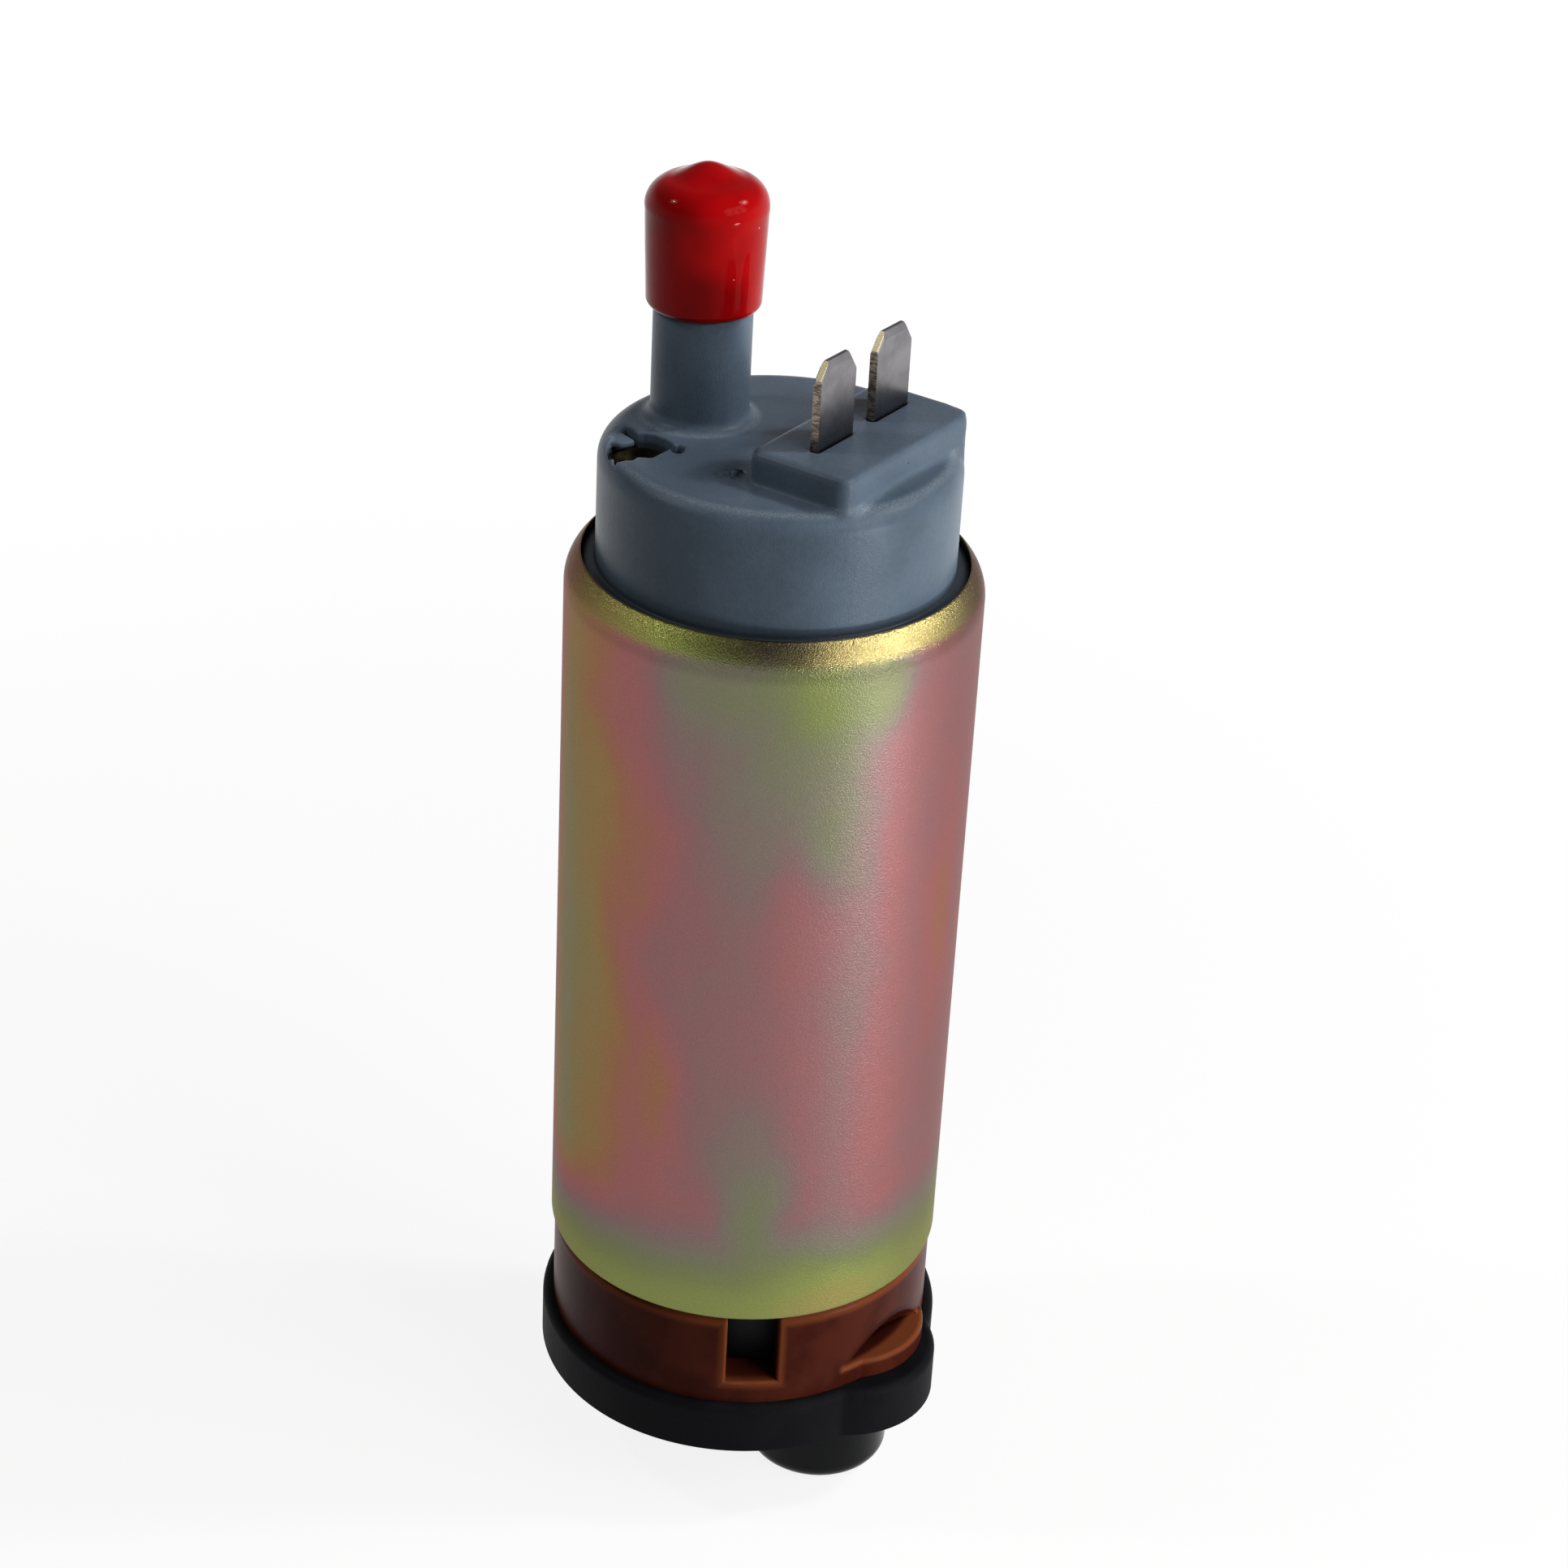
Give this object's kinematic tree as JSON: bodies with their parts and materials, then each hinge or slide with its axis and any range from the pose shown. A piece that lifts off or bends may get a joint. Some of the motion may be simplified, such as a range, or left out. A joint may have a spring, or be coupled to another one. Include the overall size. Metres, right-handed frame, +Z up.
{
  "type": "electric fuel pump",
  "caption": "Slim cylindrical in-tank electric fuel pump: chromated steel shell, moulded outlet cover with capped nipple and blade terminals, brown inlet cover, rubber foot and side inlet neck.",
  "frame": {"origin": "on the pump axis at the lower end of the motor shell's straight wall", "axes": "+Z up the pump axis from the inlet neck to the outlet nipple; +X along the terminal block; the nipple lies towards +Y"},
  "size_m": [0.0394, 0.0418, 0.1304],
  "materials": {
    "motor_shell": "satin yellow chromate over zinc",
    "outlet_cover": "satin blue-grey glass filled moulding",
    "cover_seal": "matt",
    "terminal_positive": "tin plated, satin",
    "terminal_negative": "tin plated, satin",
    "check_seat": "satin",
    "check_poppet": "machined",
    "check_spring": "bright wire",
    "check_guide": "natural",
    "outlet_dust_cap": "glossy dip moulded vinyl",
    "relief_seat": "machined",
    "relief_ball": "polished",
    "relief_spring": "bright wire",
    "relief_retainer": "pressed",
    "brush_holder": "moulded",
    "upper_bearing": "sintered",
    "lower_bearing": "sintered",
    "rotor_shaft": "ground",
    "armature_core": "stacked laminations",
    "armature_winding": "enamelled copper",
    "commutator_hub": "moulded phenolic",
    "commutator_segments": "turned copper",
    "magnet_a": "ferrite",
    "magnet_b": "ferrite",
    "magnet_clip_a": "spring steel",
    "magnet_clip_b": "spring steel",
    "pump_casing": "die cast",
    "casing_seal": "matt",
    "impeller": "moulded phenolic",
    "pump_cover": "dark grey moulding",
    "thrust_button": "hardened",
    "inlet_cover": "brown phenolic, satin gloss",
    "inlet_neck": "black, glossy",
    "rubber_foot": "matt",
    "brush_a": "carbon",
    "brush_spring_a": "bright wire",
    "brush_lead_a": "braided copper",
    "choke_core_a": "ferrite rod",
    "choke_coil_a": "enamelled copper",
    "brush_b": "carbon",
    "brush_spring_b": "bright wire",
    "brush_lead_b": "braided copper",
    "choke_core_b": "ferrite rod",
    "choke_coil_b": "enamelled copper"
  },
  "bodies": {
    "housing": {"motor_shell": "motor_shell", "outlet_cover": "outlet_cover", "cover_seal": "cover_seal", "terminal_positive": "terminal_positive", "terminal_negative": "terminal_negative", "check_seat": "check_seat", "check_spring": "check_spring", "check_guide": "check_guide", "relief_seat": "relief_seat", "relief_spring": "relief_spring", "relief_retainer": "relief_retainer", "brush_holder": "brush_holder", "upper_bearing": "upper_bearing", "lower_bearing": "lower_bearing", "magnet_a": "magnet_a", "magnet_b": "magnet_b", "magnet_clip_a": "magnet_clip_a", "magnet_clip_b": "magnet_clip_b", "pump_casing": "pump_casing", "casing_seal": "casing_seal", "pump_cover": "pump_cover", "thrust_button": "thrust_button", "inlet_cover": "inlet_cover", "inlet_neck": "inlet_neck", "rubber_foot": "rubber_foot", "brush_spring_a": "brush_spring_a", "brush_lead_a": "brush_lead_a", "choke_core_a": "choke_core_a", "choke_coil_a": "choke_coil_a", "brush_spring_b": "brush_spring_b", "brush_lead_b": "brush_lead_b", "choke_core_b": "choke_core_b", "choke_coil_b": "choke_coil_b"},
    "rotor": {"rotor_shaft": "rotor_shaft", "armature_core": "armature_core", "armature_winding": "armature_winding", "commutator_hub": "commutator_hub", "commutator_segments": "commutator_segments", "impeller": "impeller"},
    "dust_cap": {"outlet_dust_cap": "outlet_dust_cap"},
    "check_valve": {"check_poppet": "check_poppet"},
    "relief_valve": {"relief_ball": "relief_ball"},
    "brush_block_a": {"brush_a": "brush_a"},
    "brush_block_b": {"brush_b": "brush_b"}
  },
  "joints": [
    {"name": "rotor_spin", "type": "hinge", "parent": "housing", "child": "rotor", "pos_m": [0, 0, 0], "axis": [0, 0, 1], "continuous": true},
    {"name": "dust_cap_pull", "type": "slide", "parent": "housing", "child": "dust_cap", "axis": [0, 0, 1], "range_m": [0, 0.03]},
    {"name": "check_valve_lift", "type": "slide", "parent": "housing", "child": "check_valve", "axis": [0, 0, 1], "range_m": [0, 0.002], "stiffness_N_per_m": 100, "springref_m": -0.0023, "deforming": ["check_spring"]},
    {"name": "relief_valve_lift", "type": "slide", "parent": "housing", "child": "relief_valve", "axis": [0, 0, 1], "range_m": [0, 0.0012], "stiffness_N_per_m": 1000, "springref_m": -0.0032, "deforming": ["relief_spring"]},
    {"name": "brush_a_slide", "type": "slide", "parent": "housing", "child": "brush_block_a", "axis": [0, 0, 1], "range_m": [0, 0.0025], "stiffness_N_per_m": 150, "springref_m": -0.0067, "deforming": ["brush_spring_a", "brush_lead_a"]},
    {"name": "brush_b_slide", "type": "slide", "parent": "housing", "child": "brush_block_b", "axis": [0, 0, 1], "range_m": [0, 0.0025], "stiffness_N_per_m": 150, "springref_m": -0.0067, "deforming": ["brush_spring_b", "brush_lead_b"]}
  ]
}
